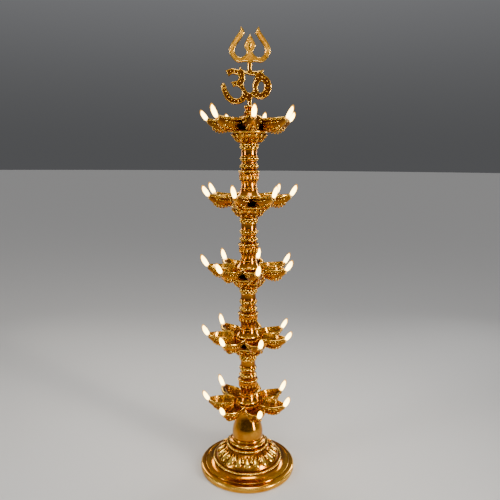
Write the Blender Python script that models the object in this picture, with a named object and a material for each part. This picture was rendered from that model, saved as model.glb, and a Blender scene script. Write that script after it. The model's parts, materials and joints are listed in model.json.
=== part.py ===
"""Brass standing oil lamp (samai): five tiers of seven wick petals on a turned stem, under an Om and
trident finial.

Metres, +Z up. The origin is on the floor, on the lamp's axis, and the front of the lamp faces -Y.
Tiers are numbered from the bottom. Profiles are (radius, height) pairs in millimetres, measured from
the rim plane of a tier where the piece belongs to a tier, and from the floor where it belongs to the base.
"""

import math

import bmesh
import bpy
from mathutils import Matrix, Vector

MM = 0.001

# Driving dimensions
TIERS = 5
PETALS = 7
LOWEST_RIM = 122 * MM  # rim plane of the lowest tier, above the floor
TIER_PITCH = 115 * MM  # from one rim plane to the next
TIER_TURNS = (16.0, 16.5, 12.0, -18.0, 5.5)  # degrees each tier's first petal stands right of the front
SECTOR = math.pi / PETALS  # half of the angle that one petal takes
GAP = 0.3  # mm left between pieces that touch

# Joining hardware, in millimetres
STUD_RADIUS = 4.0
SOCKET_RADIUS = 4.4
CLEAR_HOLE_RADIUS = 4.8
SOCKET_DEPTH = 15.0
STUD_END_CLEARANCE = 0.5

# Levels of one tier, in millimetres above its rim plane
PLATE_FLOOR = -12.0
PLATE_UNDERSIDE = -14.5
CUP_TOP = PLATE_UNDERSIDE - GAP
CUP_BOTTOM = -43.0
STEM_TOP = CUP_BOTTOM - GAP
FOOT_OF_STEM = PLATE_FLOOR + GAP

# Levels of the base, in millimetres above the floor
RIM_1 = LOWEST_RIM / MM
BELL_TOP = RIM_1 + CUP_TOP
BELL_BOTTOM = 45.0
FOOT_TOP = BELL_BOTTOM - GAP
FOOT_DECK_UNDERSIDE = 38.0
WASHER_RADIUS = 13.0
WASHER_THICKNESS = 1.6
BOLT_HEAD_RADIUS = 7.4
BOLT_HEAD_HEIGHT = 5.0

# Finial, in millimetres above the rim plane of the top tier
PEDESTAL_TOP = 21.7
FINIAL_THICKNESS = 4.4
TANG_DEPTH = 6.0
TANG_HALF_WIDTH = 3.3

PLATE_WALL = 1.6
FLOOR_RADIUS = 19.5  # the flat middle of a plate, which the foot of the stem above stands on
NOTCH_RADIUS = 26.0  # where neighbouring petals part
RIDGE_THICKNESS = 2.5  # of the ridge between petals, inside the notch
# A petal's section has points at these shares of its half width, and its height there is a power curve
ACROSS = (-1.0, -0.6, 0.0, 0.6, 1.0)
BELLY_POWER = 2.6
# Stations along a petal: distance from the axis at the middle and at the edge, inner half width, depth
# of the floor under the rim plane, and height of the rim over it
PETAL_STATIONS = (
    (34.0, 31.0, 12.2, 15.4, 0.0),
    (43.0, 41.0, 13.9, 16.9, 0.0),
    (51.0, 50.0, 12.2, 15.6, 0.0),
    (58.5, 58.0, 8.0, 10.2, 0.8),
    (64.4, 63.2, 3.6, 3.4, 2.0),
)
NOTCH_MIDDLE = 27.0
NOTCH_DEPTH = 12.9
NOTCH_ROW = 2  # the two rows of points before it belong to the flat middle

WICK_RADIUS = 1.4
WICK_SIDES = 5
WICK_PATH = ((37.0, -13.0), (50.0, -13.0), (59.0, -7.0), (64.2, -0.9), (67.8, 2.2))

STEM_SEGMENTS = 16
FOOT_SEGMENTS = 32
HARDWARE_SEGMENTS = 12  # two to each side of the bolt's hexagon
WELD_DISTANCE = 0.0001  # mm
SHARP_ANGLE = math.radians(40)

CUP_PROFILE = (
    (CLEAR_HOLE_RADIUS, CUP_BOTTOM),
    (12.6, CUP_BOTTOM),
    (14.6, -40.8),
    (14.6, -37.4),
    (14.0, -35.2),
    (20.6, -30.4),
    (26.4, -24.5),
    (28.2, -19.5),
    (27.8, -17.0),
    (24.5, CUP_TOP),
    (CLEAR_HOLE_RADIUS, CUP_TOP),
)

# The outside of a stem from its top down, measured from the rim plane of the tier above it
STEM_OUTSIDE = (
    (12.9, STEM_TOP),
    (12.5, -48.0),
    (13.0, -55.6),
    (14.6, -57.0),
    (14.6, -59.4),
    (12.4, -62.0),
    (12.6, -66.4),
    (14.8, -68.6),
    (14.8, -71.2),
    (13.2, -73.4),
    (16.3, -77.0),
    (16.3, -80.2),
    (15.4, -86.0),
    (12.6, -93.5),
    (12.3, -103.0),
    (14.2, -108.5),
    (17.9, -114.0),
    (18.4, -118.5),
    (16.6, -120.8),
    (18.2, -123.4),
    (17.6, FOOT_OF_STEM - TIER_PITCH / MM),
)

BELL_OUTSIDE = (
    (18.5, BELL_TOP),
    (19.2, 104.6),
    (17.4, 101.6),
    (18.4, 94.0),
    (21.6, 84.0),
    (24.8, 74.0),
    (26.0, 66.0),
    (25.4, 57.0),
    (26.2, 52.0),
    (29.4, 50.4),
    (30.4, 47.8),
    (29.4, BELL_BOTTOM),
)

FOOT_PROFILE = (
    (CLEAR_HOLE_RADIUS, FOOT_TOP),
    (32.5, FOOT_TOP),
    (35.0, 42.4),
    (34.4, 39.6),
    (37.5, 36.4),
    (45.0, 31.4),
    (50.6, 25.4),
    (53.6, 20.6),
    (57.6, 19.4),
    (58.4, 16.6),
    (62.0, 13.4),
    (70.0, 10.8),
    (76.5, 9.2),
    (80.0, 6.0),
    (80.0, 1.8),
    (78.6, 0.0),
    (71.5, 0.0),
    (70.5, 5.4),
    (60.0, 9.4),
    (53.0, 13.4),
    (48.6, 20.4),
    (42.0, 28.0),
    (34.0, 33.4),
    (24.0, FOOT_DECK_UNDERSIDE),
    (CLEAR_HOLE_RADIUS, FOOT_DECK_UNDERSIDE),
)

PEDESTAL_OUTSIDE = (
    (7.4, PEDESTAL_TOP),
    (8.6, 20.4),
    (8.5, 18.8),
    (7.2, 17.0),
    (7.6, 12.4),
    (9.8, 8.6),
    (14.0, 5.8),
    (15.2, 3.4),
    (14.4, 0.8),
    (13.3, -1.0),
    (16.6, -4.0),
    (18.2, -6.6),
    (18.2, -9.5),
    (17.4, FOOT_OF_STEM),
)

# The finial's outline, (across, up) in millimetres from the pedestal's top on the lamp's axis.
# The left side of the Om, from the tang up to the shaft under the trident
OM_LEFT = (
    (-TANG_HALF_WIDTH, -TANG_DEPTH),
    (-3.2, 6.0),
    (-6.0, 8.9),
    (-8.6, 5.6),
    (-14.5, 2.6),
    (-21.5, 1.6),
    (-27.5, 2.6),
    (-34.4, 7.3),
    (-39.6, 14.6),
    (-43.0, 24.5),
    (-43.5, 30.0),
    (-41.0, 33.2),
    (-37.2, 31.0),
    (-33.5, 22.0),
    (-27.5, 13.7),
    (-20.7, 10.0),
    (-14.7, 11.7),
    (-11.7, 17.2),
    (-12.7, 22.9),
    (-16.2, 26.2),
    (-21.5, 28.3),
    (-24.9, 26.6),
    (-28.4, 34.3),
    (-24.0, 35.0),
    (-18.9, 36.8),
    (-16.8, 40.9),
    (-18.3, 44.2),
    (-22.4, 45.2),
    (-27.5, 45.5),
    (-31.8, 42.2),
    (-36.9, 50.8),
    (-27.5, 54.0),
    (-18.9, 52.6),
    (-16.4, 52.2),
    (-15.4, 56.8),
    (-13.2, 56.2),
    (-12.0, 53.2),
    (-9.8, 52.0),
    (-6.6, 50.4),
    (-3.4, 50.8),
)
# The right side of the Om, from the shaft under the trident down to the tang
OM_RIGHT = (
    (3.4, 51.2),
    (6.9, 50.3),
    (15.6, 51.0),
    (20.7, 53.4),
    (21.6, 45.8),
    (28.5, 40.9),
    (32.9, 32.8),
    (33.3, 25.3),
    (30.2, 16.3),
    (24.2, 11.3),
    (17.2, 9.3),
    (10.4, 10.3),
    (5.3, 13.0),
    (3.9, 8.9),
    (TANG_HALF_WIDTH, -TANG_DEPTH),
)
# Half of the trident, from the shaft out to the side prong and in to the middle prong's tip
TRIDENT_HALF = (
    (3.4, 63.5),
    (9.5, 63.6),
    (17.0, 62.6),
    (24.6, 66.8),
    (30.4, 75.0),
    (31.2, 81.5),
    (28.9, 88.5),
    (22.0, 98.5),
    (15.6, 107.5),
    (13.6, 114.0),
    (10.2, 110.5),
    (8.0, 104.8),
    (13.6, 96.2),
    (20.8, 86.5),
    (22.8, 79.2),
    (19.6, 72.4),
    (13.0, 70.0),
    (7.2, 73.4),
    (4.3, 78.0),
    (9.0, 86.8),
    (5.0, 95.6),
)
TRIDENT_TIP = (0.0, 103.4)
# The opening between the Om's two halves, and the centre, half axes and lean of its oval hole
OM_OPENING = (
    (-7.4, 46.8),
    (0.0, 44.2),
    (8.4, 43.4),
    (6.7, 38.5),
    (4.6, 31.0),
    (4.9, 23.0),
    (2.4, 19.2),
    (-1.0, 18.7),
    (-4.4, 21.2),
    (-9.0, 31.0),
    (-6.9, 37.0),
    (-6.8, 42.2),
)
OVAL_CENTRE = (17.2, 27.0)
OVAL_HALF_AXES = (4.6, 8.4)
OVAL_LEAN = math.radians(-8)
OVAL_POINTS = 14


def clear_scene():
    for obj in list(bpy.data.objects):
        bpy.data.objects.remove(obj, do_unlink=True)


def principled(name, colour, roughness, metallic):
    """A Principled BSDF material."""
    material = bpy.data.materials.new(name)
    material.use_nodes = True
    shader = material.node_tree.nodes["Principled BSDF"]
    shader.inputs["Base Color"].default_value = (*colour, 1.0)
    shader.inputs["Roughness"].default_value = roughness
    shader.inputs["Metallic"].default_value = metallic
    material.diffuse_color = (*colour, 1.0)
    return material


def add_object(name, data, material, parent=None):
    """Links a new object and makes it part of an assembly."""
    obj = bpy.data.objects.new(name, data)
    bpy.context.scene.collection.objects.link(obj)
    if material is not None:
        data.materials.append(material)
    obj.parent = parent
    return obj


def add_pivot(name, height, turn=0.0):
    """An empty on the lamp's axis, turned about it. height is in metres and turn in radians."""
    pivot = bpy.data.objects.new(name, None)
    bpy.context.scene.collection.objects.link(pivot)
    pivot.location = (0, 0, height)
    pivot.rotation_euler = (0, 0, turn)
    return pivot


def mesh_from(name, bm):
    """A mesh with outward normals and smooth round faces, from a bmesh in millimetres."""
    bmesh.ops.remove_doubles(bm, verts=bm.verts, dist=WELD_DISTANCE)
    bmesh.ops.recalc_face_normals(bm, faces=bm.faces)
    bmesh.ops.scale(bm, vec=(MM, MM, MM), verts=bm.verts)
    mesh = bpy.data.meshes.new(name)
    bm.to_mesh(mesh)
    bm.free()
    mesh.shade_smooth()
    mesh.set_sharp_from_angle(angle=SHARP_ANGLE)
    return mesh


def round_section(radius, segments):
    return [radius] * segments


def hexagon_section(corner_radius, segments):
    """Radii that put every other point on a hexagon's corner and the rest in the middle of its sides."""
    return [corner_radius * (1.0 if i % 2 == 0 else math.cos(math.pi / 6)) for i in range(segments)]


def turned(name, profile, segments=STEM_SEGMENTS, closed=True, hexagonal=()):
    """A mesh turned about Z. profile is a loop if closed, and otherwise runs from the axis to the axis.
    hexagonal holds the profile points that are hexagons."""
    bm = bmesh.new()
    rings = []
    for index, (radius, height) in enumerate(profile):
        if radius == 0:
            rings.append([bm.verts.new((0, 0, height))] * segments)
            continue
        section = hexagon_section if index in hexagonal else round_section
        rings.append(
            [
                bm.verts.new((r * math.cos(a), r * math.sin(a), height))
                for r, a in zip(section(radius, segments), turn_angles(segments))
            ]
        )
    pairs = list(zip(rings, rings[1:]))
    if closed:
        pairs.append((rings[-1], rings[0]))
    for lower, upper in pairs:
        for i in range(segments):
            j = (i + 1) % segments
            corners = dict.fromkeys((lower[i], lower[j], upper[j], upper[i]))
            if len(corners) > 2:
                bm.faces.new(corners)
    return mesh_from(name, bm)


def turn_angles(segments):
    return [2 * math.pi * i / segments for i in range(segments)]


def socketed(outside):
    """The outside of a stem section, top down, with a blind stud socket in each end."""
    top = outside[0][1]
    bottom = outside[-1][1]
    return (
        (0, top - SOCKET_DEPTH),
        (SOCKET_RADIUS, top - SOCKET_DEPTH),
        (SOCKET_RADIUS, top),
        *outside,
        (SOCKET_RADIUS, bottom),
        (SOCKET_RADIUS, bottom + SOCKET_DEPTH),
        (0, bottom + SOCKET_DEPTH),
    )


def belly(share):
    """How far down a petal's section reaches at a share of its half width: 1 in the middle, 0 at the rim."""
    return 1 - abs(share) ** BELLY_POWER


def hub_row(radius):
    """A row of (inside point, outside point) across the plate's flat middle."""
    row = []
    for share in ACROSS:
        x = radius * math.cos(share * SECTOR)
        y = radius * math.sin(share * SECTOR)
        row.append(((x, y, PLATE_FLOOR), (x, y, PLATE_UNDERSIDE)))
    return row


def notch_row():
    """The row where the petals part: a ridge stands between each petal and its neighbours."""
    edge = NOTCH_RADIUS * math.cos(SECTOR)
    half = NOTCH_RADIUS * math.sin(SECTOR)
    row = []
    for share in ACROSS:
        x = NOTCH_MIDDLE - (NOTCH_MIDDLE - edge) * share**2
        inside = -NOTCH_DEPTH * belly(share)
        outside = -RIDGE_THICKNESS - (NOTCH_DEPTH + PLATE_WALL - RIDGE_THICKNESS) * belly(share)
        row.append(((x, half * share, inside), (x, half * share, outside)))
    return row


def petal_row(station, past):
    """A row across the free part of a petal. The outside lies past the inside by this much."""
    middle, edge, half, depth, rim = station
    row = []
    for share in ACROSS:
        x = middle - (middle - edge) * share**2
        inside = rim - (rim + depth) * belly(share)
        outside = rim - (rim + depth + PLATE_WALL) * belly(share)
        row.append(((x, half * share, inside), (x + past, (half + PLATE_WALL) * share, outside)))
    return row


def petal_rows():
    """Rows of (inside point, outside point) across one petal that points along +X, from the plate's
    hole to the lip of the spout."""
    rows = [hub_row(CLEAR_HOLE_RADIUS), hub_row(FLOOR_RADIUS), notch_row()]
    rows += [petal_row(station, 0.0) for station in PETAL_STATIONS[:-1]]
    rows.append(petal_row(PETAL_STATIONS[-1], PLATE_WALL))
    return rows


def plate_mesh(name):
    """The seven-petalled oil tray: each petal is a deep scoop that opens into the flat middle."""
    bm = bmesh.new()
    for petal in range(PETALS):
        turn = Matrix.Rotation(2 * SECTOR * petal, 3, "Z")
        rows = [
            [tuple(bm.verts.new(turn @ Vector(point)) for point in pair) for pair in row]
            for row in petal_rows()
        ]
        across = range(len(ACROSS) - 1)
        for row, further in zip(rows, rows[1:]):
            for i in across:
                for side in (0, 1):
                    bm.faces.new(
                        (row[i][side], row[i + 1][side], further[i + 1][side], further[i][side])
                    )
        for i in across:
            for end in (rows[0], rows[-1]):
                bm.faces.new((end[i][0], end[i + 1][0], end[i + 1][1], end[i][1]))
        for row, further in zip(rows[NOTCH_ROW:], rows[NOTCH_ROW + 1 :]):
            for edge in (0, -1):
                bm.faces.new((row[edge][0], further[edge][0], further[edge][1], row[edge][1]))
    return mesh_from(name, bm)


def wick_mesh(name):
    """A cotton wick that lies in a petal along +X and pokes out over the lip of the spout."""
    path = [Vector((x, 0, z)) for x, z in WICK_PATH]
    bm = bmesh.new()
    rings = []
    for i, point in enumerate(path):
        along = (path[min(i + 1, len(path) - 1)] - path[max(i - 1, 0)]).normalized()
        up = Vector((-along.z, 0, along.x))
        ring = []
        for angle in turn_angles(WICK_SIDES):
            offset = Vector((0, math.cos(angle), 0)) + up * math.sin(angle)
            ring.append(bm.verts.new(point + WICK_RADIUS * offset))
        rings.append(ring)
    for ring, further in zip(rings, rings[1:]):
        for i in range(WICK_SIDES):
            j = (i + 1) % WICK_SIDES
            bm.faces.new((ring[i], ring[j], further[j], further[i]))
    bm.faces.new(rings[0])
    bm.faces.new(rings[-1])
    return mesh_from(name, bm)


def oval():
    """The oval hole of the Om's right loop."""
    points = []
    for angle in turn_angles(OVAL_POINTS):
        x = OVAL_HALF_AXES[0] * math.cos(angle)
        y = OVAL_HALF_AXES[1] * math.sin(angle)
        points.append(
            (
                OVAL_CENTRE[0] + x * math.cos(OVAL_LEAN) - y * math.sin(OVAL_LEAN),
                OVAL_CENTRE[1] + x * math.sin(OVAL_LEAN) + y * math.cos(OVAL_LEAN),
            )
        )
    return points


def finial_curve(name):
    """The flat Om and trident casting as a filled, extruded 2D curve: one outline and two openings."""
    left_trident = [(-x, z) for x, z in TRIDENT_HALF]
    outline = [*OM_LEFT, *left_trident, TRIDENT_TIP, *reversed(TRIDENT_HALF), *OM_RIGHT]
    curve = bpy.data.curves.new(name, "CURVE")
    curve.dimensions = "2D"
    curve.fill_mode = "BOTH"
    curve.extrude = FINIAL_THICKNESS / 2 * MM
    for loop in (outline, OM_OPENING, oval()):
        spline = curve.splines.new("POLY")
        spline.points.add(len(loop) - 1)
        for point, (x, z) in zip(spline.points, loop):
            point.co = (x * MM, z * MM, 0, 1)
        spline.use_cyclic_u = True
    return curve


def cut_tang_slot(pedestal):
    """Cuts the slot in the pedestal's top that the finial's tang stands in. The cutter stands as far
    out of the top as it goes in."""
    bm = bmesh.new()
    bmesh.ops.create_cube(bm, size=1)
    half_width = TANG_HALF_WIDTH + GAP
    half_depth = FINIAL_THICKNESS / 2 + GAP
    depth = TANG_DEPTH + GAP
    bmesh.ops.scale(bm, vec=(2 * half_width, 2 * half_depth, 2 * depth), verts=bm.verts)
    cutter = add_object("tang_slot_cutter", mesh_from("tang_slot_cutter", bm), None, pedestal.parent)
    cutter.location = (0, 0, PEDESTAL_TOP * MM)
    cutter.hide_render = True
    cutter.display_type = "WIRE"
    cut = pedestal.modifiers.new("tang_slot", "BOOLEAN")
    cut.operation = "DIFFERENCE"
    cut.object = cutter


def build_base(brass, steel):
    """The hollow foot, the bell that stands on it, and the bolt and washer that hold them together."""
    pivot = add_pivot("base", 0)
    add_object("base_foot", turned("base_foot", FOOT_PROFILE, FOOT_SEGMENTS), brass, pivot)
    bell = turned("base_bell", socketed(BELL_OUTSIDE), closed=False)
    add_object("base_bell", bell, brass, pivot)
    washer_top = FOOT_DECK_UNDERSIDE - GAP
    washer_bottom = washer_top - WASHER_THICKNESS
    washer_profile = (
        (CLEAR_HOLE_RADIUS, washer_top),
        (WASHER_RADIUS, washer_top),
        (WASHER_RADIUS, washer_bottom),
        (CLEAR_HOLE_RADIUS, washer_bottom),
    )
    add_object("base_washer", turned("base_washer", washer_profile), steel, pivot)
    head_top = washer_bottom - GAP
    head_bottom = head_top - BOLT_HEAD_HEIGHT
    end = BELL_BOTTOM + SOCKET_DEPTH - STUD_END_CLEARANCE
    bolt_profile = (
        (0, head_bottom),
        (BOLT_HEAD_RADIUS, head_bottom),
        (BOLT_HEAD_RADIUS, head_top),
        (STUD_RADIUS, head_top),
        (STUD_RADIUS, end),
        (0, end),
    )
    bolt = turned("base_bolt", bolt_profile, HARDWARE_SEGMENTS, closed=False, hexagonal=(1, 2))
    add_object("base_bolt", bolt, steel, pivot)


def stud_mesh(name, under):
    """A stud that runs from a socket whose mouth is at the height under, up into the foot of the stem
    that stands on the plate."""
    bottom = under - SOCKET_DEPTH + STUD_END_CLEARANCE
    top = FOOT_OF_STEM + SOCKET_DEPTH - STUD_END_CLEARANCE
    profile = ((0, bottom), (STUD_RADIUS, bottom), (STUD_RADIUS, top), (0, top))
    return turned(name, profile, HARDWARE_SEGMENTS, closed=False)


def build_tier(tier, plate, wick, stud):
    """One tier: the stud that stays with the stem, and the plate that turns with its wicks."""
    height = LOWEST_RIM + (tier - 1) * TIER_PITCH
    add_object(f"tier_{tier}_stud", stud, None, add_pivot(f"tier_{tier}_seat", height))
    first_petal = math.radians(TIER_TURNS[tier - 1] - 90)
    pivot = add_pivot(f"tier_{tier}_pivot", height, first_petal)
    add_object(f"tier_{tier}_plate", plate, None, pivot)
    for petal in range(PETALS):
        piece = add_object(f"tier_{tier}_wick_{petal + 1}", wick, None, pivot)
        piece.rotation_euler = (0, 0, 2 * SECTOR * petal)


def build_finial(brass):
    """The pedestal that screws on the top stud, and the Om and trident casting that stands in its slot."""
    pivot = add_pivot("finial_pivot", LOWEST_RIM + (TIERS - 1) * TIER_PITCH)
    bottom = PEDESTAL_OUTSIDE[-1][1]
    profile = (
        (0, PEDESTAL_TOP),
        *PEDESTAL_OUTSIDE,
        (SOCKET_RADIUS, bottom),
        (SOCKET_RADIUS, bottom + SOCKET_DEPTH),
        (0, bottom + SOCKET_DEPTH),
    )
    pedestal = add_object("finial_pedestal", turned("finial_pedestal", profile, closed=False), brass, pivot)
    cut_tang_slot(pedestal)
    finial = add_object("om_trident", finial_curve("om_trident"), brass, pivot)
    finial.location = (0, 0, PEDESTAL_TOP * MM)
    finial.rotation_euler = (math.pi / 2, 0, 0)


def main():
    clear_scene()
    brass = principled("brass", (0.72, 0.46, 0.13), 0.28, 1.0)
    steel = principled("plated_steel", (0.6, 0.58, 0.54), 0.4, 1.0)
    cotton = principled("cotton", (0.82, 0.76, 0.62), 0.95, 0.0)

    build_base(brass, steel)

    plate = plate_mesh("tier_plate")
    wick = wick_mesh("tier_wick")
    cup = turned("tier_cup", CUP_PROFILE)
    stem = turned("stem", socketed(STEM_OUTSIDE), closed=False)
    short_stud = stud_mesh("short_stud", CUP_TOP)
    long_stud = stud_mesh("long_stud", STEM_TOP)
    for mesh in (plate, cup, stem):
        mesh.materials.append(brass)
    for mesh in (short_stud, long_stud):
        mesh.materials.append(steel)
    wick.materials.append(cotton)

    for tier in range(1, TIERS + 1):
        build_tier(tier, plate, wick, short_stud if tier == 1 else long_stud)
    # Every stem carries the cup under the next tier
    for tier in range(2, TIERS + 1):
        seat = add_pivot(f"stem_{tier - 1}_seat", LOWEST_RIM + (tier - 1) * TIER_PITCH)
        add_object(f"stem_{tier - 1}", stem, None, seat)
        add_object(f"tier_{tier}_cup", cup, None, seat)

    build_finial(brass)


main()
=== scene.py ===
"""Looks of the brass standing oil lamp: cast and beaded brass, cotton wicks and their flames, around the
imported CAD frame. Shapes are made in millimetres, measured from the rim plane of a tier or from the floor,
and built in metres. The front of the lamp faces -Y.
"""

import json
import math

import bpy
import numpy as np
from mathutils import Matrix, Vector


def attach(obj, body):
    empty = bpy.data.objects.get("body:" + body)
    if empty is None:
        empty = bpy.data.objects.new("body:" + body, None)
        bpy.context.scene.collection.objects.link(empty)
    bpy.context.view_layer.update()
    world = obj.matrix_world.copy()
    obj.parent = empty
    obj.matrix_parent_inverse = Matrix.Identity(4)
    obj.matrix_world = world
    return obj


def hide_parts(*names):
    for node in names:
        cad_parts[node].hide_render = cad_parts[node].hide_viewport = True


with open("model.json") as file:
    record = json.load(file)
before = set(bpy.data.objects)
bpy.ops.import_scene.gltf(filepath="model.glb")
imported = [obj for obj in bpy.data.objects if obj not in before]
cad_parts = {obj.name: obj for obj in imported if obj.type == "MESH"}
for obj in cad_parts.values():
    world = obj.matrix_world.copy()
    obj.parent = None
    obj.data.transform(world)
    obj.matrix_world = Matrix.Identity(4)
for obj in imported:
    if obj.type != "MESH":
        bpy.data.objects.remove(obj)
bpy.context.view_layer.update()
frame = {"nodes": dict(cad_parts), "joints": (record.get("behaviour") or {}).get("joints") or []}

MM = 0.001
TAU = 2 * math.pi

# Driving dimensions, as the CAD has them
PETALS = 7
SECTOR = math.pi / PETALS
TIER_TURNS = (16.0, 16.5, 12.0, -18.0, 5.5)
RIMS = [j["pos_m"][2] / MM for j in frame["joints"] if j["name"].startswith("tier_")]
PITCH = RIMS[1] - RIMS[0]
HOLE = 4.8
BORE = 4.4
PLATE_FLOOR = -12.0
PLATE_UNDERSIDE = -14.5
PLATE_WALL = 1.6
FLOOR_RADIUS = 19.5
NOTCH_RADIUS = 26.0
NOTCH_MIDDLE = 27.0
NOTCH_DEPTH = 12.9
RIDGE_THICKNESS = 2.5
BELLY_POWER = 2.6
CUP_TOP = -14.8
CUP_BOTTOM = -43.0
STEM_TOP = -43.3
FOOT_OF_STEM = -11.7
STEM_BOTTOM = FOOT_OF_STEM - PITCH
PEDESTAL_TOP = 21.7
FINIAL_THICKNESS = 4.4
BELL_TOP = RIMS[0] + CUP_TOP
BELL_BOTTOM = 45.0
FOOT_TOP = 44.7
DECK_UNDERSIDE = 38.0

# Relief of a surface: its middle value, the height in mm that adds 1 to it, and what a turned face lacks
RELIEF_MIDDLE = 0.55
RELIEF_DEPTH = 1.6
TURNED_LOSS = 0.13
# Polish of beads, drops and rolled rims
DETAIL_POLISH = 0.6


# ---- curves


def corner(across, up):
    """A point of an outline given twice, which makes it a corner."""
    return (across, up), (across, up)


def through(points, steps, closed=False):
    """A smooth curve through points of any dimension. A repeated point is a corner."""
    points = [np.array(p, float) for p in points]
    out = []
    if closed:
        n = len(points)
        for i in range(n):
            out += span(points[i - 1], points[i], points[(i + 1) % n], points[(i + 2) % n], steps)
        return np.array(out)
    runs, run = [], [points[0]]
    for p in points[1:]:
        if np.allclose(p, run[-1]):
            runs.append(run)
            run = [p]
        else:
            run.append(p)
    runs.append(run)
    for run in runs:
        if len(run) == 1:
            continue
        for i in range(len(run) - 1):
            before = run[i - 1] if i else 2 * run[0] - run[1]
            after = run[i + 2] if i + 2 < len(run) else 2 * run[-1] - run[-2]
            out += span(before, run[i], run[i + 1], after, steps)
        out.append(run[-1])
    return np.array(out)


def span(a, b, c, d, steps):
    """Points from b up to c on a Catmull-Rom curve."""
    out = []
    for i in range(steps):
        t = i / steps
        square = 2 * a - 5 * b + 4 * c - d
        cube = 3 * b - a - 3 * c + d
        out.append(0.5 * (2 * b + (c - a) * t + square * t**2 + cube * t**3))
    return out


def unit(v):
    """Vectors of length 1 along the last axis."""
    return v / np.maximum(np.linalg.norm(v, axis=-1, keepdims=True), 1e-12)


def travelled(path):
    """The distance along a path to each of its points."""
    return np.concatenate([[0], np.cumsum(np.linalg.norm(np.diff(path, axis=0), axis=1))])


def even(path, pitch, start=0.0, end=None):
    """Points a whole number of about equal pitches apart along a path, and the directions there. start and
    end are the lengths left out at its ends."""
    end = start if end is None else end
    along = travelled(path)
    length = along[-1] - start - end
    count = max(2, round(length / pitch) + 1)
    wanted = np.linspace(start, along[-1] - end, count)
    near = 0.3

    def at(distances):
        return np.stack([np.interp(distances, along, path[:, k]) for k in range(path.shape[1])], 1)

    return at(wanted), unit(at(wanted + near) - at(wanted - near))


# ---- meshes


class Shape:
    """Patches of mesh in millimetres, with two numbers at each point: relief (1 on high places, 0 in
    recesses; the brass paints high places bright, as rubbed polish and painted highlight, and low ones dark,
    as patina and painted shade) and polish (1 where a lathe finished it, 0 where it is as cast)."""

    def __init__(self):
        self.points, self.relief, self.polish = [], [], []
        self.faces, self.corners = [], []
        self.count = 0

    def patch(self, points, faces, relief=0.5, polish=0.0, uv=None):
        """Adds points and faces. relief and polish are numbers, or one for each point."""
        points = np.asarray(points, float).reshape(-1, 3)
        n = len(points)
        uv = np.zeros((n, 2)) if uv is None else np.asarray(uv, float).reshape(-1, 2)
        self.points.append(points)
        self.relief.append(np.broadcast_to(np.asarray(relief, float).reshape(-1), (n,)))
        self.polish.append(np.broadcast_to(np.asarray(polish, float).reshape(-1), (n,)))
        for face in faces:
            self.faces.append([int(i) + self.count for i in face])
            self.corners.append([uv[int(i)] for i in face])
        self.count += n

    def grid(self, points, wrap=False, flip=False, **kind):
        """Rows of points. wrap joins the last column to the first."""
        rows, columns = points.shape[:2]
        faces = []
        for i in range(rows - 1):
            for j in range(columns if wrap else columns - 1):
                k = (j + 1) % columns
                face = (i * columns + j, i * columns + k, (i + 1) * columns + k, (i + 1) * columns + j)
                faces.append(face[::-1] if flip else face)
        self.patch(points, faces, **kind)

    def turned(self, outline, steps, segments=96, polish=0.0, wave=None, reach=4.0):
        """Turns the smooth curve through a (radius, height) outline about Z, outside to the right of its
        way down. wave(angles, heights) is added to the radius."""
        profile = through(outline, steps)
        angles = np.arange(segments) * TAU / segments
        radius = np.repeat(profile[:, :1], segments, 1)
        height = np.repeat(profile[:, 1:], segments, 1)
        if wave is not None:
            radius = radius + wave(angles[None, :], height)
        points = np.stack([radius * np.cos(angles), radius * np.sin(angles), height], 2)
        relief = np.repeat(relief_along(profile, reach)[:, None] - TURNED_LOSS, segments, 1)
        if not np.isscalar(polish):
            polish = np.repeat(np.array([polish(r, z) for r, z in profile])[:, None], segments, 1)
        self.grid(points, wrap=True, relief=relief, polish=polish, flip=True)

    def stamps(self, template, centres, ups, tangents, sizes):
        """Copies of a template on a surface. sizes are (along the tangent, across it, up). ups, tangents
        and sizes are one for each centre, or one for all."""
        base, faces, relief = template
        each = [np.broadcast_to(np.asarray(v, float), (len(centres), 3)) for v in (ups, tangents, sizes)]
        for centre, up, tangent, size in zip(centres, *each):
            up = unit(up)
            tangent = unit(tangent - up * np.dot(tangent, up))
            side = np.cross(up, tangent)
            local = base * size
            points = centre + local[:, :1] * tangent + local[:, 1:2] * side + local[:, 2:] * up
            self.patch(points, faces, relief=relief, polish=DETAIL_POLISH)

    def build(self, name, material, weld=True):
        """The mesh, in metres. weld joins the points that lie on each other."""
        points = np.concatenate(self.points)
        relief = np.concatenate(self.relief)
        polish = np.concatenate(self.polish)
        faces, corners = self.faces, self.corners
        if weld:
            _, first, place = np.unique(np.round(points, 4), axis=0, return_index=True, return_inverse=True)
            place = place.reshape(-1)
            points, relief, polish = points[first], relief[first], polish[first]
            kept = []
            for face, uvs in zip(faces, corners):
                new = [int(place[i]) for i in face]
                pairs = [(v, u) for k, (v, u) in enumerate(zip(new, uvs)) if v != new[k - 1]]
                if len({v for v, _ in pairs}) > 2:
                    kept.append(tuple(zip(*pairs)))
            faces, corners = zip(*kept)
        mesh = bpy.data.meshes.new(name)
        mesh.from_pydata((points * MM).tolist(), [], faces)
        for key, values in (("relief", relief), ("polish", polish)):
            attribute = mesh.attributes.new(key, "FLOAT", "POINT")
            attribute.data.foreach_set("value", values.astype(np.float32))
        layer = mesh.uv_layers.new(name="UVMap")
        layer.data.foreach_set("uv", np.concatenate([np.ravel(c) for c in corners]).astype(np.float32))
        mesh.materials.append(material)
        mesh.shade_smooth()
        mesh.set_sharp_from_angle(angle=math.radians(50))
        mesh.update()
        return mesh


def relief_along(profile, reach):
    """How far each point of a profile stands out of the profile smoothed over a reach, from 0 to 1."""
    along = travelled(profile)
    width = np.maximum(np.gradient(along), 1e-3)
    out = np.zeros(len(profile))
    for i, s in enumerate(along):
        weight = np.maximum(0, 1 - np.abs(along - s) / reach) * width
        out[i] = profile[i, 0] - (weight * profile[:, 0]).sum() / weight.sum()
    return np.clip(RELIEF_MIDDLE + out / RELIEF_DEPTH, 0, 1)


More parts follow.
